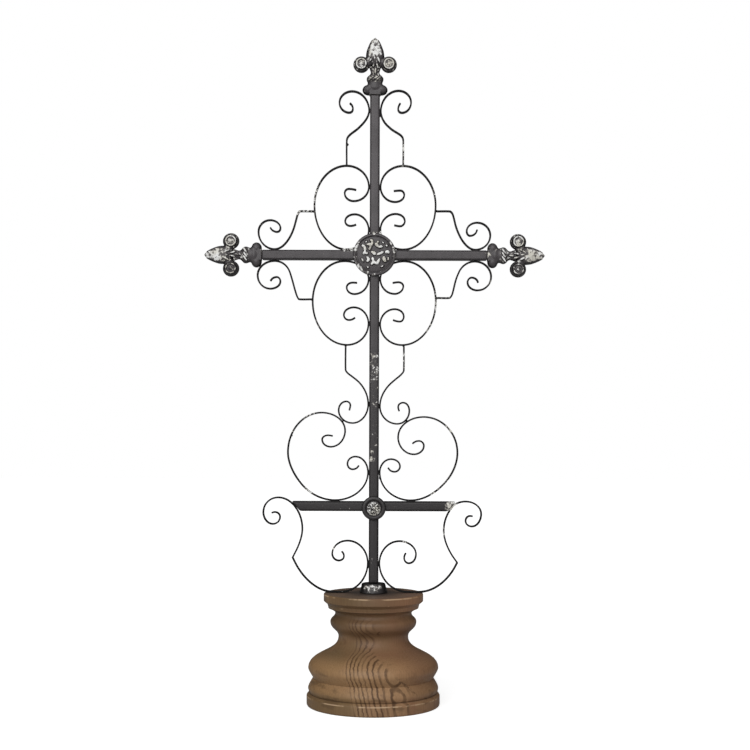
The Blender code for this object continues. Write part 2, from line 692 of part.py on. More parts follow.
def make_foot(material):
    """The pine foot: plinth, two rolls, an ogee to the waist, a bead, a collar and a flat rim."""
    lines = [sum(FOOT_STEPS[:i]) for i in range(len(FOOT_STEPS) + 1)]
    (sole, plinth, plinth_top, lower_groove, lower_roll, upper_groove, upper_roll, waist, bead,
     neck, collar, collar_top, rim, rim_top, top) = lines
    shape = turned(
        [
            (0.0, top, FREE),
            (RIM_RADIUS - RIM_ROUND, top, LEVEL),
            (RIM_RADIUS, rim_top, UPRIGHT),
            (RIM_RADIUS, rim, UPRIGHT),
            (COLLAR_RADIUS + COLLAR_FLARE, collar_top, (-135, -95)),
            (COLLAR_RADIUS, collar, (-95, -160)),
            (NECK_RADIUS, neck, UPRIGHT),
            (BEAD_RADIUS, bead, UPRIGHT),
            (WAIST_RADIUS, waist, UPRIGHT),
            (UPPER_ROLL_RADIUS, upper_roll, UPRIGHT),
            (UPPER_GROOVE_RADIUS, upper_groove, (-124, -56)),
            (LOWER_ROLL_RADIUS, lower_roll, UPRIGHT),
            (LOWER_GROOVE_RADIUS, lower_groove, (-125, -35)),
            (PLINTH_RADIUS, plinth_top, UPRIGHT),
            (PLINTH_RADIUS, plinth, UPRIGHT),
            (SOLE_RADIUS, sole, FREE),
            (0.0, sole, FREE),
        ],
        TURNING_STEPS, TURNING_SAG,
    )
    add_object("wood_foot", mesh_of("wood_foot", shape), material)


def main():
    clear_scene()
    black_iron = make_material("black_iron", (76, 73, 74), 0.55, 0.6)
    cast_iron = make_material("worn_cast_iron", (105, 101, 99), 0.6, 0.5)
    pine = make_material("brown_pine", (116, 90, 65), 0.6, 0.0)
    make_foot(pine)
    make_socket(cast_iron)
    make_bars(black_iron)
    make_finials(cast_iron)
    make_bosses(cast_iron)
    for side_name, side in SIDES.items():
        c_reaches = c_scrolls(side_name, side, black_iron)
        arm_scrolls(side_name, side, c_reaches, black_iron)
        s_scrolls(side_name, side, black_iron)
        side_scrolls(side_name, side, black_iron)
        lyre_scrolls(side_name, side, black_iron)


main()
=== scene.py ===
from math import cos, pi, radians, sin, tan

import bmesh
import bpy
import numpy as np
from mathutils import Matrix, Vector, noise
from mathutils.geometry import interpolate_bezier


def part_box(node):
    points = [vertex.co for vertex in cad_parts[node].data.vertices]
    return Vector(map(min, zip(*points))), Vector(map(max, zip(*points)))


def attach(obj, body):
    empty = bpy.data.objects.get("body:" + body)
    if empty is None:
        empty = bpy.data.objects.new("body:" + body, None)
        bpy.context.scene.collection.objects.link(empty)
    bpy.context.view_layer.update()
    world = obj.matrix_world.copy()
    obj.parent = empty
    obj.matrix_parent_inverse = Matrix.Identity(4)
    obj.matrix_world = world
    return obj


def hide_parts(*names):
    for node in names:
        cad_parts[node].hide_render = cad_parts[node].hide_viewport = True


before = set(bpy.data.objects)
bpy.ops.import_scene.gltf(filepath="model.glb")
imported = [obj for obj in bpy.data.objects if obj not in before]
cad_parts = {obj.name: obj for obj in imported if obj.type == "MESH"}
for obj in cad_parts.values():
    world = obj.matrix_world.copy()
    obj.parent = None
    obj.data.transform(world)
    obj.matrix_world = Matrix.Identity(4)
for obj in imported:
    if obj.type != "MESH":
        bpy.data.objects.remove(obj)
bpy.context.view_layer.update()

# Turned foot
# One block of brown pine, turned on a lathe from the flat rim down to the plinth and waxed. The
# tree's pith runs just outside the front of the block, a little right of the middle and leaning
# left, so the wide inner rings arch over the lower swelling and run down to its left.

MM = 0.001
FIRST_RING = 10.2  # mm from the pith to the end of its first year's growth

# The profile from the top's middle to the sole's: radius, height, and the degrees that the line
# runs at, where 0 is outwards and -90 is down. A pair is a crisp edge.
FOOT_PROFILE = [
    (0.0, 118.0, 0),
    (51.3, 118.0, 0),
    (52.7, 116.6, -90),
    (52.7, 110.1, (-90, -135)),
    (48.6, 106.5, (-135, -95)),
    (47.8, 102.6, (-95, -160)),
    (40.5, 97.4, -90),
    (45.6, 88.0, -90),
    (36.9, 72.1, -90),
    (68.9, 39.6, -90),
    (63.4, 29.2, (-124, -56)),
    (68.9, 18.6, -90),
    (67.2, 13.8, (-125, -35)),
    (70.5, 10.2, -90),
    (70.5, 2.2, -90),
    (68.8, 0.0, 180),
    (0.0, 0.0, 180),
]


def hex_colour(code):
    """An sRGB hex colour as linear light."""
    values = [int(code[i:i + 2], 16) / 255 for i in (0, 2, 4)]
    linear = [v / 12.92 if v <= 0.04045 else ((v + 0.055) / 1.055) ** 2.4 for v in values]
    return (*linear, 1.0)


def add_node(material, kind, inputs=(), output=0, **settings):
    """Adds a node of this kind with its settings, and gives back the output that is asked for.
    Its inputs, by name or in their order, are set to a value or linked from a socket."""
    made = material.node_tree.nodes.new(f"ShaderNode{kind}")
    for name, value in settings.items():
        setattr(made, name, value)
    for name, value in inputs.items() if isinstance(inputs, dict) else enumerate(inputs):
        if isinstance(value, bpy.types.NodeSocket):
            material.node_tree.links.new(value, made.inputs[name])
        else:
            made.inputs[name].default_value = value
    return made.outputs[output]


def new_material(name):
    """An empty material with its Principled shader, and its Object coordinates."""
    material = bpy.data.materials.new(name)
    material.use_nodes = True
    place = add_node(material, "TexCoord", output="Object")
    return material, material.node_tree.nodes["Principled BSDF"], place


# Settings that many nodes share: a soft step from one value to another, and a mix of two colours,
# which goes from the one at input 6 to the one at input 7 as input 0 goes from 0 to 1
SOFT = {"interpolation_type": "SMOOTHSTEP"}
COLOURS = {"data_type": "RGBA", "output": 2}


def put(name, mesh, material, slot, *nodes):
    """A finished mesh in the scene, in place of the CAD nodes that it stands for."""
    mesh.materials.clear()
    mesh.materials.append(material)
    thing = bpy.data.objects.new(name, mesh)
    bpy.context.scene.collection.objects.link(thing)
    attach(thing, "root")
    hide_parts(*nodes)
    return thing


def profile_points(profile, steps):
    """Points along a profile, each bend drawn as a quarter ellipse would be."""
    points = [Vector(profile[0][:2])]
    for (r0, z0, run0), (r1, z1, run1) in zip(profile, profile[1:]):
        start, end = Vector((r0, z0)), Vector((r1, z1))
        leaving = radians(run0[1] if isinstance(run0, tuple) else run0)
        arriving = radians(run1[0] if isinstance(run1, tuple) else run1)
        leaving = Vector((cos(leaving), sin(leaving)))
        arriving = Vector((cos(arriving), sin(arriving)))
        chord = end - start
        spin = leaving.cross(arriving)
        turn = leaving.angle(arriving)
        if abs(spin) > 0.02:
            share = 4 / 3 * tan(turn / 4) / tan(turn / 2)
            reach = chord.cross(arriving) / spin * share, leaving.cross(chord) / spin * share
        else:
            reach = (abs(chord.dot(leaving)) / 2,) * 2
        handles = start + leaving * reach[0], end - arriving * reach[1]
        straight = abs(leaving.cross(chord.normalized())) < 0.01
        count = 2 if straight else steps + 1
        points += [Vector(p[:2]) for p in interpolate_bezier(start, *handles, end, count)][1:]
    return points


def turned(points, steps):
    """A bmesh in metres, spun round Z from points in mm that start and end on the axis."""
    bm = bmesh.new()
    line = [bm.verts.new((p.x * MM, 0, p.y * MM)) for p in points]
    edges = [bm.edges.new(pair) for pair in zip(line, line[1:])]
    bmesh.ops.spin(
        bm, geom=line + edges, cent=(0, 0, 0), axis=(0, 0, 1), angle=2 * pi, steps=steps,
        use_merge=True,
    )
    bmesh.ops.remove_doubles(bm, verts=bm.verts, dist=1e-6)
    bmesh.ops.recalc_face_normals(bm, faces=bm.faces)
    return bm


def finished(bm, name, sharp=40):
    """The bmesh as a mesh, smooth but for edges sharper than this many degrees."""
    mesh = bpy.data.meshes.new(name)
    bm.to_mesh(mesh)
    bm.free()
    mesh.shade_smooth()
    mesh.set_sharp_from_angle(angle=radians(sharp))
    return mesh


def within(material, value, low, high, soft):
    """One where the value lies between low and high, fading to nothing this far outside them."""
    rising = add_node(material, "MapRange", (value, low - soft, low), **SOFT)
    falling = add_node(material, "MapRange", (value, high, high + soft, 1.0, 0.0), **SOFT)
    return add_node(material, "Math", (rising, falling), operation="MULTIPLY")


def away_from_axis(material, x, y):
    """How far a place is from an axis, from its two distances across that axis."""
    squares = [add_node(material, "Math", (v, v), operation="MULTIPLY") for v in (x, y)]
    total = add_node(material, "Math", squares, operation="ADD")
    return add_node(material, "Math", (total,), operation="SQRT")


# Pine, turned and waxed: soft pale early wood, then a thin dark line of late wood in each ring,
# which the brush has left standing. The rings narrow outwards, and no two are equally dark.
pine, shader, place = new_material("Waxed brown pine")
across, depth, height = add_node(pine, "SeparateXYZ", (place,)).node.outputs
from_pith = add_node(pine, "Mapping", {
    "Vector": place, "Location": (23.5 * MM, -69 * MM, 38 * MM),
    "Rotation": (radians(1.5), radians(-13), 0)}, vector_type="TEXTURE")
pith_x, pith_y, _ = add_node(pine, "SeparateXYZ", (from_pith,)).node.outputs
pith_away = away_from_axis(pine, pith_x, pith_y)
# The rings wander, broadly and finely, and each is a year older than the one inside it
wander = pith_away
for scale, strength in ((60.0, 0.0042), (260.0, 0.0021)):
    noise_here = add_node(pine, "TexNoise", {"Vector": place, "Scale": scale})
    wander = add_node(pine, "Math", (noise_here, strength, wander), operation="MULTIPLY_ADD")
age = add_node(pine, "Math", (wander, 0.0032), operation="SUBTRACT")
age = add_node(pine, "Math", (age, FIRST_RING * MM), operation="DIVIDE")
age = add_node(pine, "Math", (age, 1.39), operation="POWER")
ring = add_node(pine, "Math", (age,), operation="FRACT")
whole_years = add_node(pine, "Math", (age,), operation="FLOOR")
year = add_node(pine, "TexWhiteNoise", {"W": whole_years}, "Value", noise_dimensions="1D")
# The figure shows left of a line that climbs to the left, then up the middle, and faintly above.
# It comes again behind.
slant = add_node(pine, "Math", (height, 1.07, across), operation="MULTIPLY_ADD")
figure = add_node(pine, "Math", (
    add_node(pine, "MapRange", (slant, 0.0635, 0.0675, 1.0, 0.0), **SOFT),
    add_node(pine, "MapRange", (across, 0.034, 0.040, 1.0, 0.0), **SOFT)), operation="MULTIPLY")
up_the_middle = add_node(pine, "Math", (
    add_node(pine, "MapRange", (across, -0.002, 0.004, 1.0, 0.0), **SOFT),
    add_node(pine, "MapRange", (height, 0.052, 0.060), **SOFT)), operation="MULTIPLY")
figure = add_node(pine, "Math", (figure, up_the_middle), operation="MAXIMUM")
for fade in ((pith_away, 0.046, 0.054, 1.0, 0.05), (height, 0.090, 0.099, 1.0, 0.22)):
    faded = add_node(pine, "MapRange", fade, **SOFT)
    figure = add_node(pine, "Math", (figure, faded), operation="MULTIPLY")
behind = add_node(pine, "MapRange", (pith_away, 0.085, 0.115, 0.0, 0.5), **SOFT)
figure = add_node(pine, "Math", (figure, behind), operation="MAXIMUM")
blotch = add_node(pine, "TexNoise", {
    "Vector": place, "Scale": 55.0, "Detail": 3.0, "Roughness": 0.6})
late = add_node(pine, "Math", (within(pine, ring, 0.74, 0.93, 0.16), figure), operation="MULTIPLY")
for fade in ((year, 0.0, 0.6, 0.6, 1.0), (blotch, 0.3, 0.55, 0.5, 1.0)):
    faded = add_node(pine, "MapRange", fade, **SOFT)
    late = add_node(pine, "Math", (late, faded), operation="MULTIPLY")
# Where the figure ends on the swelling, the torn grain has kept some dirt
torn = add_node(pine, "Math", (
    within(pine, slant, 0.0650, 0.0662, 0.0016), within(pine, height, 0.024, 0.036, 0.006)),
    operation="MULTIPLY")
specks = add_node(pine, "TexNoise", {"Vector": place, "Scale": 380.0})
specks = add_node(pine, "MapRange", (specks, 0.42, 0.55), **SOFT)
torn = add_node(pine, "Math", (torn, specks), operation="MULTIPLY")
torn = add_node(pine, "Math", (torn, 0.8), operation="MULTIPLY")
late = add_node(pine, "Math", (late, torn), operation="MAXIMUM")
# A pin knot on the bead, of whose dark rim only the left half shows
knot_away = add_node(
    pine, "VectorMath", (place, (7.0 * MM, -41.4 * MM, 80.8 * MM)), "Value", operation="DISTANCE")
left_half = add_node(pine, "MapRange", (across, 0.0062, 0.0080, 0.85, 0.0), **SOFT)
knot = add_node(pine, "Math", (
    within(pine, knot_away, 1.9 * MM, 3.1 * MM, 0.9 * MM), left_half), operation="MULTIPLY")
late = add_node(pine, "Math", (late, knot), operation="MAXIMUM")
along_grain = add_node(pine, "Mapping", {"Vector": place, "Scale": (1, 1, 0.05)})
fibres = add_node(pine, "TexNoise", {
    "Vector": along_grain, "Scale": 800.0, "Detail": 3.0, "Roughness": 0.6})
drift = add_node(pine, "TexNoise", {"Vector": place, "Scale": 24.0})
redder = add_node(pine, "Math", (across, 7.0, drift), operation="MULTIPLY_ADD")
pine_colour = add_node(pine, "Mix", {
    0: add_node(pine, "MapRange", (redder, 0.15, 0.7), **SOFT),
    6: hex_colour("6A5438"), 7: hex_colour("7B5A41")}, **COLOURS)
# Each tone lies over the ones before it: how much of it there is, and its colour.
# The rim carries the most painted shade, and is redder on its right.
rim_colour = add_node(pine, "Mix", {
    0: add_node(pine, "MapRange", (across, 0.015, 0.045), **SOFT),
    6: hex_colour("4A3A28"), 7: hex_colour("A87B5A")}, **COLOURS)
tones = [(add_node(pine, "MapRange", (height, 0.099, 0.106, 0.0, 0.28), **SOFT), rim_colour)]
# The beads carry painted shade, more on their left
beads = add_node(pine, "Math", (
    within(pine, height, 0.078, 0.096, 0.008),
    add_node(pine, "MapRange", (across, -0.02, 0.02, 0.55, 0.25), **SOFT)), operation="MULTIPLY")
# A painted highlight lightens the swelling where it faces up to the light, most on its left
swelling = add_node(pine, "Math", (
    within(pine, height, 0.024, 0.048, 0.012),
    add_node(pine, "MapRange", (across, 0.022, 0.050, 1.0, 0.25), **SOFT)), operation="MULTIPLY")
swelling = add_node(pine, "Math", (swelling, 0.5), operation="MULTIPLY")
figured = add_node(pine, "Math", (
    figure, add_node(pine, "MapRange", (height, 0.050, 0.066, 0.4, 0.0), **SOFT)),
    operation="MULTIPLY")
flattened = add_node(pine, "Mapping", {"Vector": place, "Scale": (1, 1, 3.2)})
smudge = add_node(pine, "TexNoise", {
    "Vector": flattened, "Scale": 30.0, "Detail": 3.0, "Roughness": 0.55})
smudge = add_node(pine, "MapRange", (smudge, 0.58, 0.66, 0.0, 0.55), **SOFT)
smudge = add_node(pine, "Math", (smudge, within(pine, height, 0, 0.036, 0.01)), operation="MULTIPLY")
tones += [
    (beads, hex_colour("4A3826")),
    (swelling, hex_colour("A47F57")),
    (figured, hex_colour("9B7B59")),
    (add_node(pine, "MapRange", (drift, 0.52, 0.68, 0.0, 0.35), **SOFT), hex_colour("8E7150")),
    (add_node(pine, "MapRange", (fibres, 0.35, 0.7, 0.0, 0.3), **SOFT), hex_colour("5C4630")),
    (add_node(pine, "MapRange", (blotch, 0.62, 0.70, 0.0, 0.4), **SOFT), hex_colour("523B28")),
    (smudge, hex_colour("54402A")),
    (add_node(pine, "Math", (late, 0.92), operation="MULTIPLY"), hex_colour("4D3622")),
]
# Painted shade darkens the grooves
for level, reach, strength in ((102.0, 1.5, 0.45), (29.2, 0.9, 0.2), (13.8, 0.8, 0.75)):
    hollow = within(pine, height, level * MM, level * MM, reach * MM)
    hollow = add_node(pine, "Math", (hollow, strength), operation="MULTIPLY")
    tones.append((hollow, hex_colour("38281B")))
# Pale lines lie on the turned edges here and there, partly handling wear and partly painted
# highlight
for level, rarity in ((116.8, 0.46), (109.8, 0.56), (105.6, 0.56), (10.4, 0.44)):
    here = add_node(pine, "MapRange", (blotch, rarity, rarity + 0.12, 0.0, 0.75), **SOFT)
    edge = within(pine, height, level * MM, level * MM, 1.0 * MM)
    edge = add_node(pine, "Math", (edge, here), operation="MULTIPLY")
    tones.append((edge, hex_colour("BDA180")))
# The end grain on top is greyed, partly by drifted black spray and partly as a painted sheen, and
# round the socket it is darker, partly glue and partly painted shadow
on_top = add_node(pine, "MapRange", (height, 117.7 * MM, 117.95 * MM), **SOFT)
near_post = add_node(
    pine, "MapRange", (away_from_axis(pine, across, depth), 0.016, 0.040, 0.75, 0.0), **SOFT)
for strength, colour in ((0.55, "6A5A51"), (near_post, "332D2B")):
    spray = add_node(pine, "Math", (on_top, strength), operation="MULTIPLY")
    tones.append((spray, hex_colour(colour)))
for share, tone in tones:
    pine_colour = add_node(pine, "Mix", {0: share, 6: pine_colour, 7: tone}, **COLOURS)
relief = add_node(pine, "Math", (late, 1.6, fibres), operation="MULTIPLY_ADD")
for entry, made in (
        ("Base Color", pine_colour),
        ("Roughness", add_node(pine, "MapRange", (fibres, 0.3, 0.7, 0.42, 0.6), **SOFT)),
        ("Normal", add_node(pine, "Bump", {
            "Height": relief, "Strength": 0.6, "Distance": 0.25 * MM}))):
    pine.node_tree.links.new(made, shader.inputs[entry])
shader.inputs["Specular IOR Level"].default_value = 0.3

put("turned_foot", finished(turned(profile_points(FOOT_PROFILE, 14), 144), "turned_foot"),
    pine, "brown_pine", "wood_foot")

# Bars
# Square mild steel bar with eased edges: the post, and two half bars butted to it at each
# crossing. All of the ironwork is sprayed satin black over a pale undercoat, and rubbed through
# here and there, mostly half way down the post.

BAR_ROUNDING = 1.4  # mm of rounding on a bar's edges

# Where the black is rubbed through: across, up and radius in mm, and how much of it is gone
WORN_PLACES = [
    (0, 369, 4, 0.8), (-2, 361, 5, 0.45), (2, 354, 6, 0.5), (0, 345, 6, 0.45), (1, 335, 5, 0.25),
    (0, 325, 4, 0.4), (1, 318, 4, 0.5), (0, 300, 6, 0.2), (0, 286, 4, 0.3), (-1, 268, 3, 0.85),
    (-3, 260, 3, 0.85), (3, 275, 3, 0.35), (82, 211, 7, 0.8), (0, 499, 3, 0.9),
    (-32, 481, 2.4, 0.8), (-24, 481, 2.6, 0.8), (-28, 481, 1.8, 0.7), (6, 499, 2.4, 0.8),
    (1, 152, 6, 0.25), (-61, 540, 12, 0.5), (-61, 524, 8, 0.45), (-75, 522, 9, 0.6),
    (30, 585, 12, 0.55), (31, 572, 8, 0.4), (64, 540, 10, 0.4), (65, 425, 14, 0.45),
    (60, 398, 8, 0.4), (31, 365, 10, 0.5), (-64, 400, 8, 0.3), (-69, 307, 7, 0.6),
    (-69, 227, 7, 0.6), (80, 292, 8, 0.6), (77, 237, 7, 0.55), (63, 225, 8, 0.5),
    (-44, 166, 6, 0.6), (74, 183, 6, 0.55), (32, 169, 6, 0.55), (-90, 292, 6, 0.35),
    (-30, 232, 6, 0.35), (120, 477, 3.2, 0.85), (-137, 476.5, 5.5, 0.45), (-118, 504, 6, 0.4),
    (118, 446, 6, 0.4), (-24, 640, 6, 0.35), (-60, 452, 8, 0.3),
]


def points_of(mesh):
    """The mesh's vertices as an array of mm."""
    flat = np.empty(len(mesh.vertices) * 3, np.float32)
    mesh.vertices.foreach_get("co", flat)
    return flat.reshape(-1, 3) / MM


def add_wear(mesh, extra=0.0):
    """Stores how far the black is rubbed through at each vertex, at the worn places and beyond."""
    points = points_of(mesh)
    wear = np.zeros(len(points), np.float32) + extra
    for x, z, radius, strength in WORN_PLACES:
        away = np.hypot(points[:, 0] - x, points[:, 2] - z) / radius
        wear = np.maximum(wear, strength * np.clip(1.6 - 1.2 * away, 0, 1))
    attribute = mesh.attributes.new("wear", "FLOAT", "POINT")
    attribute.data.foreach_set("value", wear.astype(np.float32))


def painted_iron(name, lit_high_colour, shaded_low_colour, flake_mm, roughness, gloss, grain_mm):
    """Black spray over a pale undercoat, in flakes of this size where the wear is stored."""
    material, shader, place = new_material(name)
    height = add_node(material, "SeparateXYZ", (place,), "Z")
    # What faces front or back is rubbed and grey, and the rest is near black as painted shade
    facing = add_node(material, "SeparateXYZ", (place.node.outputs["Normal"],), "Y")
    facing = add_node(material, "Math", (facing,), operation="ABSOLUTE")
    facing = add_node(material, "MapRange", (facing, 0.35, 0.95), **SOFT)
    # The grey is lighter higher up, as painted light from above
    grey_lit_from_above = add_node(material, "Mix", {
        0: add_node(material, "MapRange", (height, 0.20, 0.56), **SOFT),
        6: hex_colour(shaded_low_colour), 7: hex_colour(lit_high_colour)}, **COLOURS)
    cloud = add_node(material, "TexNoise", {
        "Vector": place, "Scale": 60.0, "Detail": 3.0, "Roughness": 0.55})
    grey_lit_from_above = add_node(material, "Mix", {
        0: add_node(material, "MapRange", (cloud, 0.4, 0.7, 0.0, 0.35), **SOFT),
        6: grey_lit_from_above, 7: hex_colour(shaded_low_colour)}, **COLOURS)
    black = add_node(material, "Mix", {0: facing, 6: hex_colour("0C0B0B"), 7: grey_lit_from_above}, **COLOURS)
    flakes = add_node(material, "TexNoise", {
        "Vector": place, "Scale": 1 / (flake_mm * MM), "Detail": 5.0, "Roughness": 0.6})
    wear = add_node(material, "Attribute", output="Fac", attribute_name="wear")
    less_aside = add_node(material, "MapRange", (facing, 0.0, 0.8, 0.2, 1.0), **SOFT)
    wear = add_node(material, "Math", (wear, less_aside), operation="MULTIPLY")
    rubbed = add_node(material, "Math", (wear, 0.42, flakes), operation="MULTIPLY_ADD")
    rim = add_node(material, "MapRange", (rubbed, 0.67, 0.72), **SOFT)
    bare = add_node(material, "MapRange", (rubbed, 0.715, 0.80), **SOFT)
    pale = add_node(material, "Mix", {
        0: add_node(material, "MapRange", (cloud, 0.42, 0.6), **SOFT),
        6: hex_colour("E0E0DE"), 7: hex_colour("C6C3B9")}, **COLOURS)
    colour = add_node(material, "Mix", {0: rim, 6: black, 7: hex_colour("77736F")}, **COLOURS)
    colour = add_node(material, "Mix", {0: bare, 6: colour, 7: pale}, **COLOURS)
    skin = add_node(material, "TexNoise", {"Vector": place, "Scale": 1 / (grain_mm * MM)})
    relief = add_node(material, "Math", (rim, -0.8, skin), operation="MULTIPLY_ADD")
    matt = add_node(material, "MapRange", (rubbed, 0.68, 0.73, roughness, 0.8), **SOFT)
    shine = add_node(material, "MapRange", (rubbed, 0.68, 0.73, gloss, 0.2), **SOFT)
    bump = add_node(material, "Bump", {"Height": relief, "Strength": 0.5, "Distance": 0.12 * MM})
    for entry, made in (
            ("Base Color", colour), ("Roughness", matt), ("Specular IOR Level", shine),
            ("Normal", bump)):
        material.node_tree.links.new(made, shader.inputs[entry])
    return material


# Sprayed bar: its flat rolled faces are a dark grey, lighter higher up as painted light, and its
# edges are near black as painted shade
bar_paint = painted_iron("Satin black on steel bar", "4A4648", "272425", 2.4, 0.4, 0.35, 1.6)

for node in ("post", "arm_left", "arm_right", "lower_arm_left", "lower_arm_right"):
    bm = bmesh.new()
    bm.from_mesh(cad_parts[node].data)
    bmesh.ops.remove_doubles(bm, verts=bm.verts, dist=0.005 * MM)
    bmesh.ops.dissolve_limit(bm, angle_limit=radians(2), verts=bm.verts, edges=bm.edges)
    bmesh.ops.bevel(
        bm, geom=bm.edges[:], offset=BAR_ROUNDING * MM, segments=4, profile=0.5,
        affect="EDGES", material=-1)
    longest = max(edge.calc_length() for edge in bm.edges)
    lengthways = [edge for edge in bm.edges if edge.calc_length() > longest * 0.8]
    bmesh.ops.subdivide_edges(bm, edges=lengthways, cuts=int(longest / (2 * MM)))
    mesh = finished(bm, f"{node}_bar", 30)
    add_wear(mesh)
    put(f"{node}_bar", mesh, bar_paint, "black_iron", node)

# Scrolls
# Flat strip, bent cold round a former with its ends left square, and tacked on where it touches.
# Each is drawn along the middle of its CAD solid, through the same bends.

STRIP_EDGE = 0.35  # mm of rounding on the strip's rolled edges


def smooth_line(points, cuts, corner):
    """Points on a smooth line through these. A turn of more degrees than corner stays a kink."""
    ways = [None]
    for before, point, after in zip(points, points[1:], points[2:]):
        kinked = (point - before).angle(after - point) > radians(corner)
        ways.append(None if kinked else (after - before).normalized())
    ways.append(None)
    line = [points[0]]
    for start, end, leaving, arriving in zip(points, points[1:], ways, ways[1:]):
        chord = end - start
        leaving = leaving or chord.normalized()
        arriving = arriving or chord.normalized()
        handles = start + leaving * chord.length / 3, end - arriving * chord.length / 3
        line += [Vector(p[:2]) for p in interpolate_bezier(start, *handles, end, cuts + 2)[1:]]
    return line


def strip_middle(node):
    """A strip's middle line, thickness and depth, read off the rim of its solid's front face."""
    bm = bmesh.new()
    bm.from_mesh(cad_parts[node].data)
    bmesh.ops.remove_doubles(bm, verts=bm.verts, dist=0.005 * MM)
    bm.normal_update()
    depth = max(vert.co.y for vert in bm.verts) - min(vert.co.y for vert in bm.verts)
    rim = {}
    for edge in bm.edges:
        facing = sorted(face.normal.y for face in edge.link_faces)
        if facing[0] < -0.9 and facing[-1] > -0.1:
            for vert in edge.verts:
                rim.setdefault(vert, []).append(edge.other_vert(vert))
    loop = [next(iter(rim))]
    loop.append(rim[loop[0]][0])
    while len(loop) < len(rim):
        loop.append(next(v for v in rim[loop[-1]] if v is not loop[-2]))
    loop = [Vector((vert.co.x, vert.co.z)) for vert in loop]
    bm.free()
    half = len(loop) // 2
    sides = [(b - a).normalized() for a, b in zip(loop, loop[1:] + loop[:1])]

    def squareness(i):
        """How far from square the loop turns at both ends of side i and of the side across."""
        return sum(
            abs(sides[j % len(sides)].dot(sides[(j + 1) % len(sides)]))
            for j in (i - 1, i, i + half - 1, i + half)
        )

    end = min(range(half), key=squareness)
    pairs = [
        (loop[(end - k) % len(loop)], loop[(end + 1 + k) % len(loop)]) for k in range(half)
    ]
    return [(a + b) / 2 for a, b in pairs], (pairs[0][1] - pairs[0][0]).length, depth


# The same spray on the strip, which takes it thicker and looks nearly black
strip_paint = painted_iron("Satin black on steel strip", "121011", "0E0D0D", 2.0, 0.6, 0.15, 1.6)

scroll_lines = {}
for node in sorted(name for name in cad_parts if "scroll" in name):
    middle, thickness, depth = strip_middle(node)
    scroll_lines[node] = smooth_line(middle, 5, 48)
    bm = bmesh.new()
    line = [bm.verts.new((p.x, -depth / 2, p.y)) for p in scroll_lines[node]]
    edges = [bm.edges.new(pair) for pair in zip(line, line[1:])]
    ribbon = bmesh.ops.extrude_edge_only(bm, edges=edges)
    far = [item for item in ribbon["geom"] if isinstance(item, bmesh.types.BMVert)]
    bmesh.ops.translate(bm, vec=(0, depth, 0), verts=far)
    bmesh.ops.recalc_face_normals(bm, faces=bm.faces)
    mesh = finished(bm, f"{node}_strip", 60)
    add_wear(mesh)
    strip = put(f"{node}_strip", mesh, strip_paint, "black_iron", node)
    wall = strip.modifiers.new("Thickness", "SOLIDIFY")
    wall.thickness = thickness
    wall.offset = 0
    wall.use_even_offset = True
    edge = strip.modifiers.new("Rolled edges", "BEVEL")
    edge.width = STRIP_EDGE * MM
    edge.segments = 2
    edge.limit_method = "ANGLE"
    edge.angle_limit = radians(60)
    edge.harden_normals = True

# Finials
# Three equal iron castings, sprayed with the same black and then rubbed well back, so the pale
# undercoat shows on all that stands proud. Each has two lobes at its seat, a stem with a roped
# bead, two balls with a button in each face, and a pointed bud.


def add_ellipsoid(bm, centre, radii, turn=0.0, axis="Y", steps=24):
    """Adds a rounded form to the bmesh: centre and radii in mm, turned by so many degrees."""
    made = bmesh.ops.create_uvsphere(bm, u_segments=steps, v_segments=steps // 2, radius=1)
    bmesh.ops.scale(bm, vec=Vector(radii) * MM, verts=made["verts"])
    bmesh.ops.rotate(bm, matrix=Matrix.Rotation(radians(turn), 3, axis), verts=made["verts"])
    bmesh.ops.translate(bm, vec=Vector(centre) * MM, verts=made["verts"])


def add_turned(bm, profile, flatness=1.0, out=(0, 0, 0), tip=0.0):
    """Adds a turned form, squeezed front to back, tipped over by so many degrees, and moved."""
    form = turned(profile_points(profile, 8), 40)
    bmesh.ops.scale(form, vec=(1, flatness, 1), verts=form.verts)
    bmesh.ops.rotate(form, matrix=Matrix.Rotation(radians(tip), 3, "X"), verts=form.verts)
    bmesh.ops.translate(form, vec=Vector(out) * MM, verts=form.verts)
    part = bpy.data.meshes.new("form")
    form.to_mesh(part)
    form.free()
    bm.from_mesh(part)
    bpy.data.meshes.remove(part)


def cast(bm, name, grain_mm, rounds, reach=30):
    """The forms run together in one skin of this grain, and how far each vertex stands proud."""
    bmesh.ops.recalc_face_normals(bm, faces=bm.faces)
    mesh = bpy.data.meshes.new(name)
    bm.to_mesh(mesh)
    bm.free()
    helper = bpy.data.objects.new(name, mesh)
    bpy.context.scene.collection.objects.link(helper)
    skin = helper.modifiers.new("Skin", "REMESH")
    skin.mode = "VOXEL"
    skin.voxel_size = grain_mm * MM
    soft = helper.modifiers.new("Mould", "SMOOTH")
    soft.factor = 0.5
    made = []
    for soft.iterations in (rounds, rounds + reach):
        bpy.context.view_layer.update()
        graph = bpy.context.evaluated_depsgraph_get()
        made.append(bpy.data.meshes.new_from_object(helper.evaluated_get(graph)))
    bpy.data.objects.remove(helper, do_unlink=True)
    normals = np.array([vert.normal for vert in made[1].vertices])
    proud = ((points_of(made[0]) - points_of(made[1])) * normals).sum(axis=1)
    made[0].shade_smooth()
    return made[0], proud


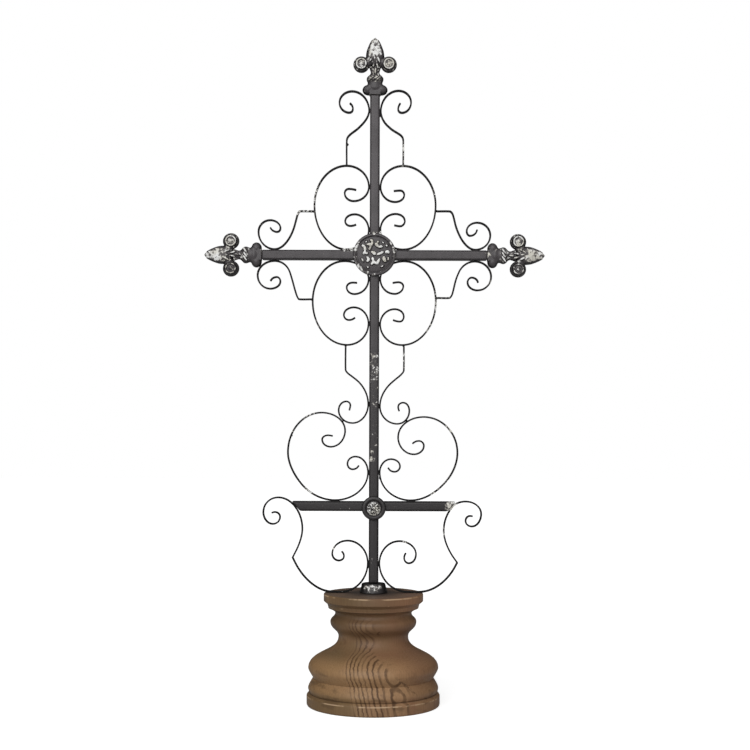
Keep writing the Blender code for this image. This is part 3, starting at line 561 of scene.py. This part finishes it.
def fitted(mesh, node, matrix, name, grow=1.0):
    """A copy of the mesh, turned by the matrix and set to fill its CAD solid's box."""
    copy = mesh.copy()
    copy.name = name
    copy.transform(matrix)
    points = points_of(copy) * MM
    low, high = Vector(points.min(axis=0)), Vector(points.max(axis=0))
    cad_low, cad_high = (Vector(corner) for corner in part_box(node))
    size = [b / a * s for a, b, s in zip(high - low, cad_high - cad_low, (grow, 1, grow))]
    copy.transform(
        Matrix.Translation((cad_low + cad_high) / 2) @ Matrix.Diagonal((*size, 1))
        @ Matrix.Translation(-(low + high) / 2))
    return copy


# Rubbed cast iron: a sandy black skin with chalky undercoat in broad ragged flakes
cast_paint = painted_iron("Rubbed black on cast iron", "474345", "2A2728", 3.0, 0.42, 0.4, 0.9)

bm = bmesh.new()
for side in (-1, 1):
    add_ellipsoid(bm, (side * 7.2, 0, 5.8), (6.4, 5.4, 5.6))
    add_ellipsoid(bm, (side * 5.0, 0, 8.6), (5.6, 5.0, 4.6), side * 38)
    add_ellipsoid(bm, (side * 14.7, 0, 32.9), (8.8, 5.4, 8.8))
    add_ellipsoid(bm, (side * 8.4, 0, 35.0), (7.0, 4.4, 4.9), side * 6)
    for front in (-1, 1):
        add_turned(bm, [
            (0.0, 1.2, 0), (1.7, 0.3, -70), (2.6, -1.0, 0), (3.6, -0.6, 60), (5.0, 0.9, 0),
            (6.4, -0.9, -70), (6.6, -3.0, -90), (0.0, -3.0, 180)],
            1.0, (side * 14.8, front * 5.1, 33.0), front * -90)
for front in (-1, 1):
    for i in range(3):
        add_ellipsoid(bm, ((i - 1) * 4.3, front * 5.6, 17.4), (1.25, 1.6, 3.9), front * -56)
    for x, z, length, lean in (
            (-4.4, 37.6, 3.6, 28), (-0.6, 38.6, 3.8, -6), (3.8, 37.0, 3.6, -24),
            (-1.6, 31.6, 3.6, 10), (2.4, 31.0, 3.4, -16), (0.3, 25.4, 3.4, 4)):
        add_ellipsoid(bm, (x, front * (4.4 if z < 33 else 5.5), z), (1.2, 1.4, length), lean)
add_turned(bm, [
    (0.0, 31.0, 0), (6.4, 29.8, -110), (4.7, 24.6, -90), (9.1, 17.4, -90), (7.9, 12.4, -90),
    (8.8, 9.6, -60), (5.0, 3.0, -150), (0.0, 3.0, 180)], 0.66)
add_turned(bm, [
    (0.0, 61.8, -42), (3.6, 59.2, -52), (8.6, 49.0, -70), (9.9, 41.2, -90), (8.6, 36.0, -112),
    (4.2, 31.4, -150), (0.0, 31.0, 180)], 0.66)
bmesh.ops.create_cube(bm, size=1, matrix=(
    Matrix.Translation((0, 0, 4.2 * MM)) @ Matrix.Diagonal((12 * MM, 10 * MM, 8.0 * MM, 1))))
finial, proud = cast(bm, "finial", 0.36, 3)
sideways, _, up = points_of(finial).T
out = np.abs(sideways)
# The bud and the balls are rubbed nearly bare, then what is raised between, the lobes not at all
rub = np.interp(
    up, [11, 14, 20, 26, 38, 42, 46, 58, 61], [-0.3, 0.4, 0.4, 0.38, 0.4, 0.55, 0.68, 0.62, 0.4])
# The bud stays black along both its borders
border = np.interp(up, [38, 41, 49, 59, 61.5], [11, 9.9, 8.7, 3.8, 1.0])
rub = rub - np.where(up > 39, np.interp(out / border, [0.62, 0.86], [0.0, 0.55]), 0)
balls = np.interp(np.hypot(out - 14.8, up - 33), [5.8, 7.0], [0.6, 0.05])
finial_wear = np.maximum(rub, balls) + 1.6 * proud
# Each turn comes with how much less the ball that ends up below is rubbed, where a minus says
# that it is the casting's left one
for node, turn, lower in (
        ("finial_top", 0, 0), ("finial_left", -90, -0.4), ("finial_right", 90, 0.3)):
    mesh = fitted(finial, node, Matrix.Rotation(radians(turn), 4, "Y"), f"{node}_casting")
    shaded = np.where(sideways * lower > 0, abs(lower) * np.interp(out, [7, 9], [0, 1]), 0)
    add_wear(mesh, np.clip(finial_wear - shaded, 0, 1))
    put(f"{node}_casting", mesh, cast_paint, "worn_cast_iron", node)

# Rosettes
# Two cast discs welded over the crossings of the bars, in front only. The big one has a narrow lip
# round irregular leaves in low relief, the small one a broad lip round a flower of nine petals.


def add_stroke(bm, start, end, width, high, level):
    """Adds a leaf in relief, from start to end as seen from the front, in mm."""
    start, end = Vector(start), Vector(end)
    along = end - start
    made = bmesh.ops.create_uvsphere(bm, u_segments=16, v_segments=10, radius=1)
    bmesh.ops.scale(
        bm, vec=Vector((along.length / 2 + width / 2, width, high)) * MM, verts=made["verts"])
    bmesh.ops.rotate(
        bm, matrix=Matrix.Rotation(Vector((1, 0)).angle_signed(along) * -1, 3, "Z"),
        verts=made["verts"])
    bmesh.ops.translate(
        bm, vec=Vector((*((start + end) / 2), level)) * MM, verts=made["verts"])


FACING_FRONT = Matrix.Rotation(pi / 2, 4, "X")

# The big rosette's leaves, from and to, as the light picks them out, and those left black
PALE_LEAVES = [
    ((-3.9, 14.6), (-1.8, 12.4)), ((-1.8, 12.4), (-4.2, 7.2)), ((-7.6, 9.7), (-2.6, 10.2)),
    ((-4.2, 7.2), (-5.3, 4.8)), ((-13.0, 9.3), (-9.7, 7.6)), ((-9.7, 7.6), (-9.4, 3.2)),
    ((-9.4, 3.2), (-11.0, 0.2)), ((-7.9, 1.6), (-7.3, 0.4)), ((0.7, 10.9), (4.2, 7.2)),
    ((4.2, 7.2), (7.9, 8.0)), ((2.9, 12.8), (3.6, 12.0)), ((12.0, 9.4), (12.6, 8.2)),
    ((12.6, 3.6), (11.2, 1.4)), ((12.6, 3.6), (14.4, 1.2)), ((-3.2, 2.4), (0.8, 1.4)),
    ((-1.6, 1.2), (0.8, -0.2)), ((2.7, -0.4), (8.8, 2.4)), ((-7.6, -2.7), (-5.2, -5.4)),
    ((-5.2, -5.4), (-7.6, -7.2)), ((-2.2, -3.1), (-0.8, -7.6)), ((-0.8, -7.6), (-3.4, -10.2)),
    ((-0.8, -7.6), (3.0, -9.6)), ((3.0, -9.6), (4.8, -4.6)), ((9.6, -2.2), (8.6, -5.4)),
    ((8.6, -5.4), (11.4, -7.2)), ((8.6, -5.4), (11.2, -5.0)),
]
DARK_LEAVES = [
    ((-13.4, -3.4), (-10.6, -8.0)), ((-8.0, -12.4), (-5.4, -13.4)), ((6.0, -13.0), (9.6, -11.0)),
    ((13.9, -2.6), (13.4, -6.4)), ((7.6, 12.4), (9.4, 11.2)), ((-9.6, 12.2), (-7.4, 13.2)),
]
thick = (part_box("centre_boss")[1][1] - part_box("centre_boss")[0][1]) / MM
bm = bmesh.new()
add_turned(bm, [
    (0.0, thick - 2.0, 0), (12.0, thick - 2.3, -3), (17.0, thick - 2.9, (-10, -50)),
    (18.0, thick - 3.6, (-30, 60)), (19.4, thick - 2.0, 0), (21.5, thick - 3.6, -90),
    (21.5, 0.9, -90), (20.6, 0.0, 180), (0.0, 0.0, 180)])
for start, end in PALE_LEAVES:
    add_stroke(bm, start, end, 1.75, 2.4, thick - 2.2)
for start, end in DARK_LEAVES:
    add_stroke(bm, start, end, 1.15, 1.5, thick - 2.4)
bmesh.ops.rotate(bm, matrix=FACING_FRONT.to_3x3(), verts=bm.verts)
big, proud = cast(bm, "big_rosette", 0.32, 2)
x, front, z = points_of(big).T
out, around = np.hypot(x, z), np.degrees(np.arctan2(z, x))
rub = np.where(out < 15.5, np.interp(-front, [thick - 1.7, thick - 1.0], [0.0, 0.84]), 0)
for middle, half, depth in (
        (158, 14, 0.62), (196, 10, 0.4), (221, 12, 0.62), (243, 8, 0.5), (267, 4, 0.55),
        (293, 3, 0.35), (38, 10, 0.42), (8, 14, 0.5), (97, 5, 0.4)):
    near = np.abs((around - middle + 180) % 360 - 180) / half
    rub = np.maximum(rub, np.where(
        np.abs(out - 19.6) < 1.5, depth * np.clip(1.8 - near, 0, 1), 0))
mesh = fitted(big, "centre_boss", Matrix(), "centre_boss_casting", 1.05)
add_wear(mesh, np.clip(rub + 0.1 * proud, 0, 1))
put("centre_boss_casting", mesh, cast_paint, "worn_cast_iron", "centre_boss")

thick = (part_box("lower_boss")[1][1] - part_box("lower_boss")[0][1]) / MM
bm = bmesh.new()
add_turned(bm, [
    (0.0, thick - 1.8, 0), (5.6, thick - 2.0, -10), (7.2, thick - 2.9, (-20, 60)),
    (9.4, thick - 0.9, 0), (12.0, thick - 3.0, -90), (12.0, 0.8, -90), (11.2, 0.0, 180),
    (0.0, 0.0, 180)])
for i in range(9):
    way = Vector((cos(radians(40 * i + 8)), sin(radians(40 * i + 8))))
    add_stroke(bm, way * 2.4, way * (5.3 + 0.5 * (i % 2)), 1.15, 1.9, thick - 1.7)
add_ellipsoid(bm, (0, 0, thick - 1.6), (1.7, 1.7, 1.5))
bmesh.ops.rotate(bm, matrix=FACING_FRONT.to_3x3(), verts=bm.verts)
small, proud = cast(bm, "small_rosette", 0.24, 2)
x, _, z = points_of(small).T
rub = np.where(np.hypot(x, z + 0.6) < 6.6, 0.66 + 1.3 * proud, 0.02)
mesh = fitted(small, "lower_boss", Matrix(), "lower_boss_casting", 1.06)
add_wear(mesh, np.clip(rub, 0, 1))
put("lower_boss_casting", mesh, cast_paint, "worn_cast_iron", "lower_boss")

# Socket
# A low iron cone, pinned to the wood, that the post is welded into. Its skin is lumpy from the
# weld, and rubbed to the undercoat along the upper half of its front.

socket_low, socket_high = (Vector(corner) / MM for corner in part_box("post_socket"))
tall, wide = socket_high.z - socket_low.z, (socket_high.x - socket_low.x) / 2
bm = turned(profile_points([
    (0.0, tall, 0), (11.4, tall, 0), (12.7, tall - 1.2, -75), (13.6, tall / 2, -82),
    (14.4, 2.2, -78), (wide, 1.0, -90), (wide - 0.9, 0.0, 180), (0.0, 0.0, 180)], 8), 96)
for vert in bm.verts:
    lump = noise.fractal(vert.co * 260, 0.8, 2.0, 3) * 0.4 * MM
    outwards = Vector((vert.co.x, vert.co.y, 0))
    if outwards.length > 5 * MM and 0.4 * MM < vert.co.z < (tall - 0.2) * MM:
        vert.co -= outwards.normalized() * abs(lump)
bmesh.ops.translate(bm, vec=(0, 0, socket_low.z * MM), verts=bm.verts)
mesh = finished(bm, "socket_casting", 50)
x, front, z = points_of(mesh).T
rub = np.interp(z - socket_low.z, [2.5, 4.5, 8, 9.6], [0.0, 0.42, 0.5, 0.1])
rub = rub * np.interp(np.abs(x + 1), [8.5, 11], [1, 0.2]) * (front < 0)
add_wear(mesh, rub + 0.05)
put("socket_casting", mesh, cast_paint, "worn_cast_iron", "post_socket")

# Welds
# Small tacks of weld fill the joints where a scroll touches the post, a bar or another scroll, and
# a larger one holds the big rosette to the post. They are sprayed with the rest.

# Tacks that stand out, and drips of paint: across and up, and half sizes, all in mm
LUMPS = [
    (5.6, 624.0, (0.8, 2.0, 1.8)), (-28.9, 593.0, (1.1, 1.6, 1.6)), (5.8, 546.0, (0.8, 2.0, 1.6)),
    (-87.2, 284.6, (1.1, 1.6, 1.1)), (-32.3, 300.5, (1.3, 1.8, 1.0)),
    (34.5, 300.5, (1.3, 1.8, 1.0)), (6.2, 240.0, (0.8, 2.0, 1.6)),
    (-5.4, 317.5, (0.7, 2.0, 1.6)), (5.8, 148.0, (0.9, 2.0, 2.4)), (-5.8, 146.0, (0.9, 2.0, 2.0)),
]


def add_lump(bm, x, y, z, radii):
    """Adds a lumpy bead of weld at this place in mm."""
    made = bmesh.ops.create_icosphere(bm, subdivisions=3, radius=1)
    for vert in made["verts"]:
        lump = 1 + 0.22 * noise.noise(vert.co * 1.6 + Vector((x, y, z)))
        vert.co = Vector((vert.co.x * radii[0], vert.co.y * radii[1], vert.co.z * radii[2])) * lump
        vert.co = (vert.co + Vector((x, y, z))) * MM


bar_faces = [
    face for name in ("arm_left", "lower_arm_left")
    for face in ((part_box(name)[0][2] / MM - 0.15, 1), (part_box(name)[1][2] / MM + 0.15, -1))]
tacks = []
for node, line in scroll_lines.items():
    side = -1 if node.endswith("left") else 1
    outs, ups = [abs(p.x) / MM for p in line], [p.y / MM for p in line]
    for i in range(1, len(line) - 1):
        if outs[i] < 6.6 and outs[i] <= outs[i - 1] and outs[i] < outs[i + 1]:
            tacks.append((side * 5.2, ups[i], (0.8, 2.0, 2.6)))
        level = (ups[i] - ups[i - 1]) * (ups[i + 1] - ups[i]) <= 0
        for face, _ in bar_faces:
            if level and abs(ups[i] - face) < 1.6 and 8 < outs[i] < 80:
                tacks.append((side * outs[i], face, (2.6, 2.0, 0.8)))
    others = [p for name, points in scroll_lines.items() if name != node for p in points]
    for end in (line[0], line[-1]):
        near = min(others, key=lambda p: (p - end).length)
        if (near - end).length < 3 * MM:
            at = (near + end) / 2 / MM
            tacks.append((at.x, at.y, (1.4, 1.9, 1.4)))
bm = bmesh.new()
for x, z, radii in tacks + LUMPS:
    add_lump(bm, x, 0, z, radii)
add_lump(bm, -1.4, -5.4, 498.2, (2.6, 1.0, 1.0))
mesh = finished(bm, "weld_tacks", 60)
add_wear(mesh)
put("weld_tacks", mesh, strip_paint, "black_iron")

# Studio
# A white floor in a plain bright room, one broad softbox from the front left and above, and the
# camera level with the lower scrolls, as far off as the ellipses of the foot say.

bm = bmesh.new()
bmesh.ops.create_grid(bm, x_segments=1, y_segments=1, size=6)
floor = bpy.data.objects.new("floor", finished(bm, "floor"))
bpy.context.scene.collection.objects.link(floor)
paper, shader, place = new_material("White paper")
fleck = add_node(paper, "TexNoise", {"Vector": place, "Scale": 40.0})
sheet = add_node(
    paper, "Mix", {0: fleck, 6: hex_colour("CACACA"), 7: hex_colour("CECECE")}, **COLOURS)
paper.node_tree.links.new(sheet, shader.inputs["Base Color"])
shader.inputs["Roughness"].default_value = 1.0
shader.inputs["Specular IOR Level"].default_value = 0.0
shader.inputs["Emission Color"].default_value = (1, 1, 1, 1)
seen = add_node(paper, "LightPath", output="Is Camera Ray")
glow = add_node(paper, "Math", (seen, 0.72), operation="MULTIPLY")
paper.node_tree.links.new(glow, shader.inputs["Emission Strength"])
floor.data.materials.append(paper)

room = bpy.data.worlds.new("Bright room")
bpy.context.scene.world = room
room.use_nodes = True
way = add_node(room, "TexCoord", output="Generated")
_, backwards, upwards = add_node(room, "SeparateXYZ", (way,)).node.outputs
lit = add_node(room, "Math", (
    add_node(room, "MapRange", (backwards, -0.95, 0.25, 0.6, 0.05), **SOFT),
    add_node(room, "MapRange", (upwards, 0.3, 1.0, 0.0, 0.25), **SOFT)), operation="ADD")
seen = add_node(room, "LightPath", output="Is Camera Ray")
strength = add_node(room, "Math", (seen, lit), operation="MAXIMUM")
backdrop = room.node_tree.nodes["Background"]
room.node_tree.links.new(strength, backdrop.inputs["Strength"])
backdrop.inputs["Color"].default_value = (1, 1, 1, 1)

softbox = bpy.data.lights.new("Softbox", "SUN")
softbox.energy = 2.0
softbox.angle = radians(60)
lamp = bpy.data.objects.new("Softbox", softbox)
lamp.rotation_euler = (radians(90 - 28), 0, radians(-15))
bpy.context.scene.collection.objects.link(lamp)

camera_data = bpy.data.cameras.new("Camera")
camera_data.lens = 67.2
camera_data.sensor_width = 36
camera_data.shift_y = 49 / 750
camera = bpy.data.objects.new("Camera", camera_data)
camera.matrix_world = (
    Matrix.Translation((0.00106, -1.484, 0.297)) @ Matrix.Rotation(pi / 2, 4, "X")
    @ Matrix.Rotation(radians(0.18), 4, "Z"))
bpy.context.scene.collection.objects.link(camera)
bpy.context.scene.camera = camera
bpy.context.scene.view_settings.view_transform = "Standard"
